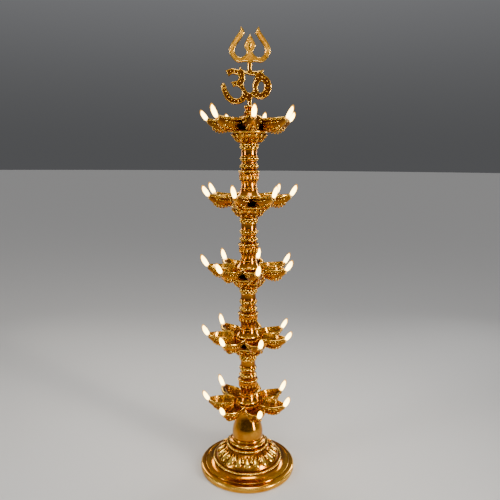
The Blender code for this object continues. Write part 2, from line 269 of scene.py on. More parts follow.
def bead_template(rings=5, turns=10, below=0.35):
    """The top of a ball, reaching a little below its equator."""
    # relief runs from 1 at the top to 0 at the foot, so the brass paints each bead with a bright top (painted
    # highlight) and a dark foot (painted shade).
    points, relief, faces = [(0, 0, 1)], [1.0], []
    reach = math.pi / 2 + below
    for i in range(1, rings + 1):
        a = reach * i / rings
        for j in range(turns):
            b = TAU * j / turns
            points.append((math.sin(a) * math.cos(b), math.sin(a) * math.sin(b), math.cos(a)))
            relief.append(max(0.0, math.cos(a)) ** 0.6)
    for j in range(turns):
        faces.append((0, 1 + j, 1 + (j + 1) % turns))
        for i in range(rings - 1):
            a, b = 1 + i * turns + j, 1 + i * turns + (j + 1) % turns
            faces.append((a, a + turns, b + turns, b))
    return np.array(points, float), faces, np.array(relief)


def drop_template(rows=10, turns=8):
    """Half of a drop that lies along the tangent: thin at the tail, round at the head."""
    # relief runs from 1 on the crest to 0 at the edges, so the brass paints each drop with a bright crest
    # (painted highlight) and dark edges (painted shade).
    points, relief, faces = [], [], []
    for i in range(rows + 1):
        t = -math.cos(math.pi * i / rows)
        width = math.sqrt(max(0.0, 1 - t * t)) * (0.62 + 0.38 * t)
        for j in range(turns + 1):
            a = math.pi * (-0.06 + 1.12 * j / turns)
            points.append((t, width * math.cos(a), width * math.sin(a)))
            relief.append(max(0.0, width * math.sin(a)) ** 0.6)
    for i in range(rows):
        for j in range(turns):
            a = i * (turns + 1) + j
            faces.append((a, a + turns + 1, a + turns + 2, a + 1))
    return np.array(points, float), faces, np.array(relief)


# About the largest half width of a drop of length 2
DROP_FULLNESS = 0.75
BEAD = bead_template()
SMALL_BEAD = bead_template(rings=3, turns=7)
DROP = drop_template()
STREAK = drop_template(rows=6, turns=4)


def around(count, start):
    """Directions out of the Z axis, evenly round it."""
    angles = start + np.arange(count) * TAU / count
    return np.stack([np.cos(angles), np.sin(angles), np.zeros(count)], 1)


def bead_ring(shape, radius, height, count, size, start=0.0, lean=0.0, template=BEAD, flat=1.0):
    """A ring of beads about Z. lean tips them up, in degrees. flat squashes them outwards."""
    out = around(count, start)
    centres = out * radius + np.array((0, 0, height))
    ups = out * math.cos(math.radians(lean)) + np.array((0, 0, math.sin(math.radians(lean))))
    shape.stamps(template, centres, ups, (0, 0, 1), (size, size, size * flat))


def drop_ring(shape, head, tail, count, width, rise, start=0.0):
    """A ring of drops about Z that lie along the slope from the tail to the head, (radius, height)."""
    head, tail = np.array(head, float), np.array(tail, float)
    middle, half = (head + tail) / 2, np.linalg.norm(head - tail) / 2
    slope = unit(head - tail)
    normal = np.array((abs(slope[1]), -slope[0] * np.sign(slope[1] or 1)))
    out = around(count, start)
    up = np.array((0, 0, 1.0))
    centres = out * middle[0] + up * middle[1]
    tangents = out * slope[0] + up * slope[1]
    ups = out * normal[0] + up * normal[1]
    shape.stamps(DROP, centres, ups, tangents, (half, width / 2 / DROP_FULLNESS, rise / DROP_FULLNESS))


def tube(shape, path, radius, sides=8, side=None, shares=None, closed=False, caps=False, **kind):
    """A tube along a path. radius is a number, one for each point, or one for each point and side. side is
    the direction of the first side, and shares are the first UV values along the path."""
    path = np.asarray(path, float)
    n = len(path)
    radius = np.asarray(radius, float)
    radius = np.broadcast_to(radius if radius.ndim == 2 else radius.reshape(-1, 1), (n, sides))
    if closed:
        along = unit(np.roll(path, -1, 0) - np.roll(path, 1, 0))
    else:
        along = unit(np.gradient(path, axis=0))
    if side is None:
        side = np.cross(along[0], (0.0, 0.0, 1.0))
        if np.linalg.norm(side) < 1e-3:
            side = np.cross(along[0], (0.0, 1.0, 0.0))
    a = np.arange(sides) * TAU / sides
    rings = []
    for i in range(n):
        side = unit(side - along[i] * np.dot(side, along[i]))
        up = np.cross(along[i], side)
        rings.append(path[i] + radius[i][:, None] * (np.cos(a)[:, None] * side + np.sin(a)[:, None] * up))
    if closed:
        rings.append(rings[0])
    uv = np.zeros((len(rings), sides, 2))
    uv[..., 0] = (np.linspace(0, 1, len(rings)) if shares is None else shares)[:, None]
    kind = {"relief": 0.9, "polish": DETAIL_POLISH, **kind}
    shape.grid(np.array(rings), wrap=True, uv=uv, **kind)
    if caps:
        shape.patch(rings[0], [tuple(range(sides - 1, -1, -1))], uv=[(0, 0)] * sides, **kind)
        shape.patch(rings[-1], [tuple(range(sides))], uv=[(1, 0)] * sides, **kind)


# ---- materials


class Nodes:
    """The node tree of a material or of the world, built by short calls."""

    def __init__(self, name, world=False):
        self.material = (bpy.data.worlds if world else bpy.data.materials).new(name)
        self.material.use_nodes = True
        self.tree = self.material.node_tree
        self.shader = self.tree.nodes["Background" if world else "Principled BSDF"]

    def link(self, source, target):
        """Links a socket to a target, or sets the target to a number, a vector or a colour."""
        if isinstance(source, (int, float)):
            target.default_value = source
        elif isinstance(source, (tuple, list)):
            target.default_value = (*source, 1.0) if len(source) == 3 and target.type == "RGBA" else source
        else:
            self.tree.links.new(source, target)

    def add(self, kind, sockets=None, **settings):
        """A node with its settings, and with some of its sockets linked or set."""
        node = self.tree.nodes.new(kind)
        for key, value in settings.items():
            setattr(node, key, value)
        for key, value in (sockets or {}).items():
            self.link(value, node.inputs[key])
        return node

    def surface(self, sockets):
        """Links or sets sockets of the shader. Gives the finished material."""
        for key, value in sockets.items():
            self.link(value, self.shader.inputs[key])
        return self.material

    def place(self):
        """The place in the piece, in metres."""
        return self.add("ShaderNodeTexCoord").outputs["Object"]

    def attribute(self, name):
        return self.add("ShaderNodeAttribute", attribute_name=name).outputs["Fac"]

    def parts(self, kind):
        """The three parts of a texture coordinate."""
        source = self.add("ShaderNodeTexCoord").outputs[kind]
        return self.add("ShaderNodeSeparateXYZ", {"Vector": source}).outputs

    def stretched(self, scale):
        """The place times a scale for each axis."""
        return self.add("ShaderNodeMapping", {"Vector": self.place(), "Scale": scale}).outputs["Vector"]

    def noise(self, scale, detail=3.0, roughness=0.55, vector=None):
        sockets = {"Vector": vector or self.place(), "Scale": scale, "Detail": detail, "Roughness": roughness}
        return self.add("ShaderNodeTexNoise", sockets).outputs["Fac"]

    def math(self, operation, a, b, clamp=False):
        return self.add("ShaderNodeMath", {0: a, 1: b}, operation=operation, use_clamp=clamp).outputs[0]

    def remap(self, value, low, high, to_low=0.0, to_high=1.0, smooth=False):
        sockets = {"Value": value, "From Min": low, "From Max": high, "To Min": to_low, "To Max": to_high}
        kind = "SMOOTHSTEP" if smooth else "LINEAR"
        return self.add("ShaderNodeMapRange", sockets, interpolation_type=kind).outputs["Result"]

    def mix(self, share, a, b):
        """The colour a, or b where the share is 1."""
        node = self.add("ShaderNodeMix", {"Factor": share}, data_type="RGBA")
        colours = [socket for socket in node.inputs if socket.type == "RGBA"]
        self.link(a, colours[0])
        self.link(b, colours[1])
        return next(socket for socket in node.outputs if socket.type == "RGBA")

    def crevice_shade(self, distance):
        """Painted shade: 0 in the open and 1 deep in a crevice of the piece itself, read from its ambient
        occlusion.
        """
        node = self.add("ShaderNodeAmbientOcclusion", {"Distance": distance}, samples=4, only_local=True)
        return self.remap(node.outputs["AO"], 0.90, 0.42)

    def bump(self, height, distance, strength):
        sockets = {"Height": height, "Distance": distance, "Strength": strength}
        return self.add("ShaderNodeBump", sockets).outputs["Normal"]


# A second UV value of 1.2 or more keeps the soot off: a petal's inside has -1 to 1, its other faces this
SOOTLESS = 3.0
SOOT_FROM = 56.5 * MM
SOOT_FULL = 66.5 * MM


def brass_material(name, sooty=False):
    """Cast and turned brass: a bright yellow tone on the high places for rubbed polish and painted highlight,
    brown patina and painted shade in the recesses, with small casting pits, rubbed patches and lathe marks.
    sooty blackens the insides of the spouts, by UV."""
    n = Nodes(name)
    relief = n.attribute("relief")
    polish = n.attribute("polish")
    broad = n.noise(45.0, 3.0)
    mottle = n.noise(260.0, 4.0, 0.6)
    pits = n.noise(1500.0, 2.0, 0.5)
    lathe = n.noise(1.0, 2.0, 0.5, vector=n.stretched((40.0, 40.0, 2600.0)))

    # Painted highlight and wear: high places such as beads, rims and borders get the bright yellow tone, both
    # for their rubbed polish and for the highlights on them.
    rubbed_and_highlight = n.remap(relief, 0.30, 0.72, 0.0, 0.75, smooth=True)
    rubbed_and_highlight = n.math("ADD", rubbed_and_highlight, n.remap(broad, 0.35, 0.65, 0.0, 0.25, smooth=True))
    tone = n.mix(rubbed_and_highlight, BRASS_DEEP, BRASS_BRIGHT)
    tone = n.mix(n.remap(mottle, 0.45, 0.75, 0.0, 0.35, smooth=True), tone, BRASS_WARM)
    # Brown patina and painted shade: low relief and the piece's ambient occlusion darken the colour towards
    # the recess brown.
    patina_and_shade = n.remap(relief, 0.58, 0.08, 0.0, 0.9, smooth=True)
    patina_and_shade = n.math("ADD", patina_and_shade, n.crevice_shade(0.005), clamp=True)
    patina_and_shade = n.math("MULTIPLY", patina_and_shade, n.remap(mottle, 0.3, 0.7, 0.65, 1.1))
    patina_and_shade = n.math("MULTIPLY", patina_and_shade, n.remap(polish, 0.0, 1.0, 1.0, 0.45), clamp=True)
    roughness = n.remap(mottle, 0.35, 0.7, 0.13, 0.26)
    roughness = n.math("SUBTRACT", roughness, n.math("MULTIPLY", polish, 0.05))
    roughness = n.math("ADD", roughness, n.math("MULTIPLY", patina_and_shade, 0.22))
    height = n.math("MULTIPLY", pits, n.remap(polish, 0.0, 1.0, 1.0, 0.15))
    height = n.math("ADD", height, n.math("MULTIPLY", n.math("MULTIPLY", lathe, polish), 0.12))
    normal = n.bump(height, 0.00012, 0.55)

    colour = n.mix(patina_and_shade, tone, BRASS_PATINA_AND_SHADE)
    metallic = 1.0
    if sooty:
        out = n.add("ShaderNodeVectorMath", {0: n.stretched((1.0, 1.0, 0.0))}, operation="LENGTH")
        soot = n.remap(out.outputs["Value"], SOOT_FROM, SOOT_FULL, smooth=True)
        soot = n.math("MULTIPLY", soot, n.remap(n.noise(420.0, 3.0), 0.36, 0.62, smooth=True))
        soot = n.math("MULTIPLY", soot, n.remap(n.parts("UV")[1], 1.2, 1.1, 0.0, 0.85), clamp=True)
        colour = n.mix(soot, colour, SOOT)
        roughness = n.math("ADD", roughness, n.math("MULTIPLY", soot, 0.3))
        metallic = n.math("SUBTRACT", 1.0, n.math("MULTIPLY", soot, 0.7))
    return n.surface(
        {"Base Color": colour, "Metallic": metallic, "Roughness": roughness, "Normal": normal}
    )


def steel_material(name):
    """Dull zinc-plated steel with fine scratches and a little rust in patches."""
    n = Nodes(name)
    grain = n.noise(1.0, 3.0, 0.6, vector=n.stretched((300.0, 300.0, 2400.0)))
    patches = n.noise(160.0, 4.0, 0.6)
    colour = n.mix(n.remap(grain, 0.35, 0.65), (0.42, 0.41, 0.39), (0.62, 0.60, 0.56))
    rust = n.remap(patches, 0.56, 0.72, 0.0, 0.7, smooth=True)
    return n.surface(
        {
            "Base Color": n.mix(rust, colour, (0.28, 0.13, 0.06)),
            "Metallic": n.math("SUBTRACT", 1.0, rust),
            "Roughness": n.remap(patches, 0.3, 0.7, 0.34, 0.6),
            "Normal": n.bump(grain, 0.0001, 0.5),
        }
    )


def cotton_material(name):
    """Oil-soaked cotton, twisted, that turns brown and then black towards the burnt end."""
    n = Nodes(name)
    along = n.parts("UV")[0]
    fuzz = n.noise(900.0, 4.0, 0.65)
    fibres = n.noise(1.0, 3.0, 0.6, vector=n.stretched((260.0, 2200.0, 900.0)))
    colour = n.mix(n.remap(fuzz, 0.35, 0.7), (0.72, 0.60, 0.38), (0.90, 0.83, 0.66))
    edge = n.math("ADD", along, n.math("MULTIPLY", n.math("SUBTRACT", fuzz, 0.5), 0.12))
    colour = n.mix(n.remap(edge, 0.70, 0.84, smooth=True), colour, (0.16, 0.075, 0.03))
    colour = n.mix(n.remap(edge, 0.80, 0.92, smooth=True), colour, (0.012, 0.010, 0.009))
    return n.surface(
        {
            "Base Color": colour,
            "Roughness": n.remap(fuzz, 0.3, 0.7, 0.45, 0.8),
            "Normal": n.bump(n.math("ADD", fuzz, fibres), 0.0004, 0.7),
            "Sheen Weight": 0.3,
        }
    )


def flame_material(name, colours, strengths, cover=1.0):
    """A glowing body whose colour and strength change from its foot (UV 0) to its tip (UV 1). cover is the
    share of what is behind it that it hides."""
    n = Nodes(name)
    along = n.parts("UV")[0]
    colour = n.mix(n.remap(along, 0.0, 0.28, smooth=True), colours[0], colours[1])
    colour = n.mix(n.remap(along, 0.45, 1.0, smooth=True), colour, colours[2])
    strength = n.remap(along, 0.0, 0.35, strengths[0], strengths[1], smooth=True)
    return n.surface(
        {
            "Base Color": (0.0, 0.0, 0.0),
            "Roughness": 1.0,
            "Specular IOR Level": 0.0,
            "Emission Color": colour,
            "Emission Strength": strength,
            "Alpha": cover,
        }
    )


# Brass tones: the bright one is laid on high places as rubbed polish and painted highlight, the deep and warm
# ones are the cast fields, and the darkest is brown patina and painted shade in the recesses.
BRASS_BRIGHT = (0.98, 0.63, 0.15)
BRASS_DEEP = (0.52, 0.165, 0.022)
BRASS_WARM = (0.48, 0.135, 0.016)
BRASS_PATINA_AND_SHADE = (0.115, 0.027, 0.006)
SOOT = (0.018, 0.013, 0.010)

BRASS = brass_material("lamp_brass")
PETAL_BRASS = brass_material("petal_brass", sooty=True)
STEEL = steel_material("plated_steel_worn")
COTTON = cotton_material("wick_cotton")
FLAME = flame_material(
    "flame_core", ((1.0, 0.42, 0.05), (1.0, 0.80, 0.33), (1.0, 0.68, 0.20)), (2.5, 15.0)
)
FRINGE = flame_material(
    "flame_fringe", ((1.0, 0.30, 0.02), (1.0, 0.50, 0.03), (1.0, 0.44, 0.02)), (0.6, 1.3), cover=0.5
)


# ---- pieces


def put(name, data):
    """A new object in the scene."""
    obj = bpy.data.objects.new(name, data)
    bpy.context.scene.collection.objects.link(obj)
    return obj


def piece(name, mesh, body, nodes, height=0.0, turn=0.0):
    """Puts a mesh in the scene, makes it ride on a body and stand for CAD nodes. height is in mm. turn is
    in radians about Z, and turns a copy of the mesh, so that the object's own box stays tight."""
    if turn:
        mesh = mesh.copy()
        mesh.transform(Matrix.Rotation(turn, 4, "Z"))
    obj = put(name, mesh)
    obj.location = (0, 0, height * MM)
    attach(obj, body)
    if nodes:
        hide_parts(*nodes)


# Petal stations: middle, edge, half width, depth, rim height, as in the CAD
STATIONS = (
    (NOTCH_MIDDLE, NOTCH_RADIUS * math.cos(SECTOR), NOTCH_RADIUS * math.sin(SECTOR), NOTCH_DEPTH, 0.0),
    (34.0, 31.0, 12.2, 15.4, 0.0),
    (43.0, 41.0, 13.9, 16.9, 0.0),
    (51.0, 50.0, 12.2, 15.6, 0.0),
    (58.5, 58.0, 8.0, 10.2, 0.8),
    (64.4, 63.2, 3.6, 3.4, 2.0),
)
ALONG_STEPS = 7
ACROSS_COUNT = 29
# The row of a petal's grid where it comes free of its neighbours
FREE = ALONG_STEPS

# Beads under a petal: column, size, pitch, distance kept from the hub, distance kept from the lip
UNDER_BEADS = (
    (14, 2.3, 5.0, 5.5, 13.0),
    (9, 2.2, 4.9, 5.0, 12.5),
    (19, 2.2, 4.9, 5.0, 12.5),
    (5, 1.8, 4.2, 5.0, 12.0),
    (23, 1.8, 4.2, 5.0, 12.0),
)
RIM_ROLL = 1.25
RIM_BEAD = 1.15
RIM_BEAD_PITCH = 2.55
INNER_BEAD = 0.95
INNER_BEAD_PITCH = 3.1
INNER_BEAD_COLUMN = 3
STREAK_SIZE = (2.7, 0.85, 0.95)
STREAK_PITCH = 2.9
STREAK_COLUMNS = (5, 7, 9, 11)


def petal_grids():
    """The inside and outside of one petal that points along +X, as rows of points from the flat middle's
    edge to the lip, and each column's share of the half width."""
    t = np.linspace(-1, 1, ACROSS_COUNT)
    share = np.sin(t * math.pi / 2)
    bowl = 1 - np.abs(share) ** BELLY_POWER
    hub = []
    for radius in (FLOOR_RADIUS - 4.0, FLOOR_RADIUS):
        hub.append((radius * np.cos(share * SECTOR), radius * np.sin(share * SECTOR)))
    inside = [np.stack([x, y, np.full_like(x, PLATE_FLOOR)], 1) for x, y in hub]
    outside = [np.stack([x, y, np.full_like(x, PLATE_UNDERSIDE)], 1) for x, y in hub]
    for k, (middle, edge, half, depth, rim) in enumerate(STATIONS):
        x = middle - (middle - edge) * share**2
        inside.append(np.stack([x, half * share, rim - (rim + depth) * bowl], 1))
        if k == 0:
            wall = -RIDGE_THICKNESS - (depth + PLATE_WALL - RIDGE_THICKNESS) * bowl
            outside.append(np.stack([x, half * share, wall], 1))
            continue
        past = PLATE_WALL if k == len(STATIONS) - 1 else 0.0
        wall = rim - (rim + depth + PLATE_WALL) * bowl
        outside.append(np.stack([x + past, (half + PLATE_WALL) * share, wall], 1))
    return through(inside, ALONG_STEPS)[ALONG_STEPS:], through(outside, ALONG_STEPS)[ALONG_STEPS:], share


def surface_normals(grid):
    """Normals of a grid of points, to the side that its columns' and rows' directions make."""
    return unit(np.cross(np.gradient(grid, axis=1), np.gradient(grid, axis=0)))


def petal_walls(shape, inside, outside, share):
    """The walls of a petal, closed at its free sides and its lip, and the rolled rim on them."""
    rows = len(inside)
    uv = np.zeros((rows, len(share), 2))
    uv[..., 0] = np.linspace(0, 1, rows)[:, None]
    uv[..., 1] = share[None, :]
    plain = uv.copy()
    plain[..., 1] = SOOTLESS
    relief_in = np.broadcast_to(0.30 + 0.3 * np.abs(share) ** 3, (rows, len(share)))
    relief_out = np.broadcast_to(0.28 + 0.18 * (1 - np.abs(share) ** 2), (rows, len(share)))
    shape.grid(inside, relief=relief_in, polish=0.35, uv=uv, flip=True)
    shape.grid(outside, relief=relief_out, uv=plain)
    for column, flip in ((0, True), (-1, False)):
        edge = np.stack([inside[FREE:, column], outside[FREE:, column]], 1)
        shape.grid(edge, relief=0.7, uv=plain[FREE:, :2], flip=flip)
    shape.grid(np.stack([inside[-1], outside[-1]], 0), relief=0.7, uv=uv[:2], flip=True)

    middle = (inside + outside) / 2
    roll = np.concatenate([middle[FREE:, 0], middle[-1, 1:-1], middle[FREE:, -1][::-1]])
    tube(shape, roll + np.array((0, 0, -0.25)), RIM_ROLL, sides=10, relief=0.95)


def petal_beads(shape, outside):
    """Rows of beads under a petal, and a string of small ones under the rim on each side."""
    normals = surface_normals(outside)
    for column, size, pitch, start, end in UNDER_BEADS:
        line = outside[FREE:, column]
        points, along = even(line, pitch, start, end)
        ups = nearby(points, line, normals[FREE:, column])
        sizes = [(size * f, size * f, size * 0.82 * f) for f in np.linspace(0.74, 1.0, len(points))]
        shape.stamps(BEAD, points, ups, along, sizes)
    for column, way in ((0, -1.0), (-1, 1.0)):
        points, along = even(outside[FREE:, column], RIM_BEAD_PITCH, 2.0)
        points = points + np.array((0, way * 0.5, -2.1))
        shape.stamps(SMALL_BEAD, points, (0, way * 0.9, -0.3), along, (RIM_BEAD, RIM_BEAD, 1.1))


def petal_engraving(shape, inside):
    """The pattern in a petal: a row of small beads along each side, herringbone streaks, and a midrib."""
    normals = -surface_normals(inside)
    for column in (INNER_BEAD_COLUMN, ACROSS_COUNT - 1 - INNER_BEAD_COLUMN):
        line = inside[FREE + 3 : -6, column]
        points, along = even(line, INNER_BEAD_PITCH)
        ups = nearby(points, line, normals[FREE + 3 : -6, column])
        shape.stamps(SMALL_BEAD, points, ups, along, (INNER_BEAD, INNER_BEAD, 0.8))
    mirrored = [ACROSS_COUNT - 1 - column for column in reversed(STREAK_COLUMNS)]
    for column in (*STREAK_COLUMNS, *mirrored):
        line = inside[FREE:, column]
        points, along = even(line, STREAK_PITCH, 1.5 + (column % 4) * 0.4, 8.0)
        ups = nearby(points, line, normals[FREE:, column])
        way = 1.0 if column < ACROSS_COUNT // 2 else -1.0
        slant = unit(along + unit(np.cross(along, ups)) * way)
        shape.stamps(STREAK, points, ups, slant, STREAK_SIZE)
    midrib = inside[FREE : FREE + 12, ACROSS_COUNT // 2] + np.array((0, 0, 0.1))
    tube(shape, midrib, np.linspace(0.6, 0.45, len(midrib)), sides=6, relief=0.7)


def petal_shape():
    """One petal that points along +X."""
    shape = Shape()
    inside, outside, share = petal_grids()
    petal_walls(shape, inside, outside, share)
    petal_beads(shape, outside)
    petal_engraving(shape, inside)
    return shape


def nearby(points, line, values):
    """The value at the point of a line nearest to each point."""
    return values[[int(np.argmin(np.linalg.norm(line - p, axis=1))) for p in points]]


def turning(angle):
    """A matrix that turns rows of points about Z when they are multiplied by it."""
    c, s = math.cos(angle), math.sin(angle)
    return np.array(((c, s, 0), (-s, c, 0), (0, 0, 1)))


def rotated(shape, turn):
    """A copy of a shape turned about Z."""
    out = Shape()
    out.points = [p @ turning(turn) for p in shape.points]
    out.relief, out.polish = shape.relief, shape.polish
    out.faces, out.corners = shape.faces, shape.corners
    out.count = shape.count
    return out


def join(shapes):
    """One shape from several."""
    out = Shape()
    for shape in shapes:
        out.points += shape.points
        out.relief += shape.relief
        out.polish += shape.polish
        out.faces += [[i + out.count for i in face] for face in shape.faces]
        out.corners += shape.corners
        out.count += shape.count
    return out


HUB_RING = 14.0
HUB_BEADS = 20.9


def plate_mesh():
    """The petal tray: seven petals round a flat middle with a beaded ring."""
    petal = petal_shape()
    petals = [rotated(petal, k * 2 * SECTOR) for k in range(PETALS)]
    hub = Shape()
    segments = PETALS * (ACROSS_COUNT - 1)
    share = np.sin(np.linspace(-1, 1, ACROSS_COUNT)[:-1] * math.pi / 2)
    angles = np.concatenate([(share + 2 * k) * SECTOR for k in range(PETALS)])
    profile = (
        (FLOOR_RADIUS, PLATE_FLOOR), (HUB_RING, PLATE_FLOOR), (HOLE, PLATE_FLOOR),
        (HOLE, PLATE_UNDERSIDE), (HUB_RING, PLATE_UNDERSIDE), (FLOOR_RADIUS, PLATE_UNDERSIDE),
    )
    rings = [np.stack([r * np.cos(angles), r * np.sin(angles), np.full(segments, z)], 1) for r, z in profile]
    uv = [(0.0, SOOTLESS)] * (len(profile) * segments)
    hub.grid(np.array(rings), wrap=True, relief=0.45, polish=0.6, uv=uv)
    bead_ring(hub, HUB_BEADS, PLATE_FLOOR - 0.1, 42, 1.35, lean=90, template=SMALL_BEAD)
    return join([*petals, hub]).build("tray", PETAL_BRASS)


CUP_OUTLINE = (
    (24.5, CUP_TOP), (27.0, -15.9), (28.3, -17.6), (28.1, -19.3), *corner(27.0, -20.6), (26.4, -21.4),
    (24.6, -25.0), (20.6, -30.0), (16.6, -33.6), *corner(14.4, -34.9), *corner(14.4, -35.6),
    (13.2, -36.4), (12.9, -39.0), (13.2, -41.8), *corner(14.2, -42.4), *corner(14.2, CUP_BOTTOM),
    *corner(HOLE, CUP_BOTTOM), *corner(HOLE, CUP_TOP), (24.5, CUP_TOP),
)


def cup_mesh():
    """The lotus cup under a tray: a cone with two rows of drops over a double ring of pearls."""
    shape = Shape()
    shape.turned(CUP_OUTLINE, 3, segments=112)
    drop_ring(shape, (27.3, -21.2), (21.6, -29.4), 16, 5.0, 2.0)
    drop_ring(shape, (22.6, -28.2), (16.2, -34.2), 16, 4.2, 1.9, start=TAU / 32)
    bead_ring(shape, 12.7, -37.4, 15, 2.55, flat=0.9)
    bead_ring(shape, 12.7, -40.9, 15, 2.35, start=TAU / 30, flat=0.9)
    return shape.build("cup", BRASS)


def smooth_parts(levels):
    """A function of (radius, height) that is 1 between the given pairs of heights and 0.15 elsewhere."""
    return lambda r, z: 1.0 if any(low <= z <= high for low, high in levels) else 0.15


STEM_OUTLINE = (
    (BORE, STEM_TOP), *corner(12.7, STEM_TOP), (13.1, -44.0), (12.5, -44.9), (12.2, -48.0), (12.3, -52.4),
    *corner(12.9, -54.6), (13.6, -55.0), (13.6, -55.6), *corner(12.9, -56.0), (12.4, -58.2),
    *corner(12.9, -60.4), (13.5, -60.8), (13.3, -61.5), (12.3, -62.4), (11.9, -64.2), (12.3, -66.0),
    (13.4, -66.8), (13.6, -67.4), *corner(12.9, -67.8), (12.5, -70.0), *corner(12.9, -72.2),
    (13.5, -72.6), (13.3, -73.2), (12.7, -73.9), (12.9, -75.0), (14.6, -76.2), (16.1, -76.9),
    (16.5, -78.0), (16.5, -79.0), (16.1, -79.9), *corner(15.0, -80.3), (15.3, -82.0), (14.9, -85.6),
    (13.9, -89.4), (13.1, -92.4), *corner(12.8, -93.8), (12.4, -94.2), (12.1, -97.0), (12.1, -101.0),
    *corner(12.6, -103.4), (13.7, -104.0), (13.9, -104.9), *corner(13.5, -105.7), (13.5, -106.3),
    (14.4, -109.2), (16.6, -112.8), (18.2, -115.0), (18.6, -116.6), *corner(18.0, -118.0), (16.9, -118.8),
    (16.6, -119.8), (16.9, -120.8), (18.0, -121.4), (18.5, -122.8), (18.5, -125.2),
    *corner(17.9, STEM_BOTTOM), (BORE, STEM_BOTTOM),
)


def stem_mesh():
    """A stem: necks, rings of pearls, a fluted vase and the collar that stands on the tray below."""
    shape = Shape()
    lobes = 16
    flute_top, flute_bottom = -80.4, -93.6

    def flutes(angles, heights):
        """Round lobes between the flange and the lower neck."""
        body = np.clip((flute_top - heights) / 1.6, 0, 1) * np.clip((heights - flute_bottom) / 2.4, 0, 1)
        return body * (0.95 * np.abs(np.cos(lobes * angles / 2)) ** 0.7 - 0.55)

    smooth = smooth_parts(((-54.5, -44.0), (-66.0, -62.0), (-103.4, -94.5), (-113.0, -106.0)))
    shape.turned(STEM_OUTLINE, 3, segments=lobes * 9, polish=smooth, wave=flutes)
    bead_ring(shape, 12.5, -58.2, 15, 2.55, flat=0.92)
    bead_ring(shape, 12.6, -70.0, 15, 2.55, start=TAU / 30, flat=0.92)
    bead_ring(shape, 16.0, -78.4, 40, 1.15, template=SMALL_BEAD)
    drop_ring(shape, (13.4, -92.6), (15.6, -82.6), lobes, 4.2, 1.5, start=TAU / lobes / 2)
    bead_ring(shape, 17.9, -116.6, 44, 1.1, template=SMALL_BEAD)
    return shape.build("stem", BRASS)


BELL_OUTLINE = (
    (BORE, BELL_TOP), *corner(18.2, BELL_TOP), (19.2, BELL_TOP - 0.8), (19.5, BELL_TOP - 2.2),
    (18.8, BELL_TOP - 3.6), *corner(17.7, BELL_TOP - 4.4), (17.3, BELL_TOP - 5.4),
    (17.6, BELL_TOP - 9.0), (18.6, 93.5), (20.6, 86.8), (22.9, 79.6), (24.7, 73.5), (25.8, 67.0),
    (25.9, 61.0), *corner(25.5, 56.5), (26.3, 55.9), (26.5, 54.9), *corner(25.8, 54.1), (26.6, 52.6),
    (28.9, 51.2), (30.3, 49.8), (30.6, 48.0), (30.1, 46.2), *corner(29.4, BELL_BOTTOM),
    (BORE, BELL_BOTTOM),
)


def bell_mesh():
    """The smooth bell between the foot and the lowest tray."""
    shape = Shape()
    smooth = smooth_parts(((54.0, BELL_TOP - 4.0),))
    shape.turned(BELL_OUTLINE, 4, segments=128, polish=smooth, reach=3.0)
    bead_ring(shape, 19.1, BELL_TOP - 2.1, 34, 1.35, template=SMALL_BEAD)
    bead_ring(shape, 29.7, 48.2, 44, 1.75, flat=0.9)
    return shape.build("bell", BRASS)


FOOT_OUTLINE = (
    (HOLE, FOOT_TOP), *corner(32.2, FOOT_TOP), (34.4, 44.2), (35.3, 43.0), (35.0, 41.6),
    *corner(34.0, 40.6), (34.6, 39.4), (37.5, 36.8), (44.5, 32.2), (49.8, 27.0), (52.6, 22.4),
    *corner(53.4, 20.4), (54.6, 20.2), (56.8, 19.8), (58.0, 18.8), (58.2, 17.4), *corner(57.6, 16.4),
    (59.2, 14.9), (63.5, 12.6), *corner(69.6, 11.0), (70.2, 11.7), (71.2, 11.7), *corner(71.8, 10.6),
    (75.0, 10.0), (78.0, 8.8), (79.7, 6.6), (80.0, 4.2), (79.9, 1.6), (79.2, 0.3), *corner(78.4, 0.0),
    *corner(71.6, 0.0), (71.0, 1.0), (70.4, 5.2), (60.0, 9.2), (53.2, 13.2), (48.6, 20.2), (42.0, 27.8),
    (34.0, 33.2), *corner(24.0, DECK_UNDERSIDE), *corner(HOLE, DECK_UNDERSIDE), (HOLE, FOOT_TOP),
)


def foot_mesh():
    """The wide hollow foot: a ring of pearls, a dome of lotus leaves and a turned skirt."""
    shape = Shape()
    skirt = 58.5
    leaves = 20
    smooth = smooth_parts(((9.5, 16.0),))
    shape.turned(FOOT_OUTLINE, 4, segments=160, polish=lambda r, z: smooth(r, z) if r > skirt else 0.1)
    drop_ring(shape, (52.6, 24.4), (37.2, 38.0), leaves, 12.6, 2.6)
    drop_ring(shape, (48.0, 30.2), (36.4, 38.6), leaves, 6.4, 3.0, start=TAU / leaves / 2)
    bead_ring(shape, 34.2, 42.6, 52, 1.9, lean=10, flat=0.9)
    bead_ring(shape, 57.0, 18.2, 84, 1.85, lean=25, flat=0.9)
    bead_ring(shape, 78.6, 7.0, 150, 1.35, lean=20, template=SMALL_BEAD)
    return shape.build("foot", BRASS)


PEDESTAL_OUTLINE = (
    (0.0, PEDESTAL_TOP), *corner(7.2, PEDESTAL_TOP), (8.3, 21.1), (8.7, 20.0), (8.4, 18.9),
    *corner(7.5, 18.1), (7.0, 17.2), (7.0, 14.6), *corner(7.5, 12.6), (8.5, 12.2), (8.7, 11.2),
    *corner(8.2, 10.4), (9.2, 9.0), (11.4, 7.0), (13.8, 5.6), (14.9, 4.2), (15.0, 2.6), (14.4, 1.0),
    *corner(13.3, 0.0), (13.1, -1.2), (14.4, -3.0), (16.8, -4.6), (18.2, -6.0), (18.5, -7.8),
    (18.5, -10.0), *corner(17.6, FOOT_OF_STEM), (BORE, FOOT_OF_STEM),
)


def pedestal_mesh():
    """The finial's pedestal: collar, beaded waist, neck and a flat cap."""
    shape = Shape()
    smooth = smooth_parts(((12.6, 18.1), (-4.0, 0.0)))
    shape.turned(PEDESTAL_OUTLINE, 4, polish=smooth, reach=3.0)
    bead_ring(shape, 14.4, 3.4, 22, 1.75)
    bead_ring(shape, 17.8, -7.2, 34, 1.35, template=SMALL_BEAD)
    return shape.build("pedestal", BRASS)


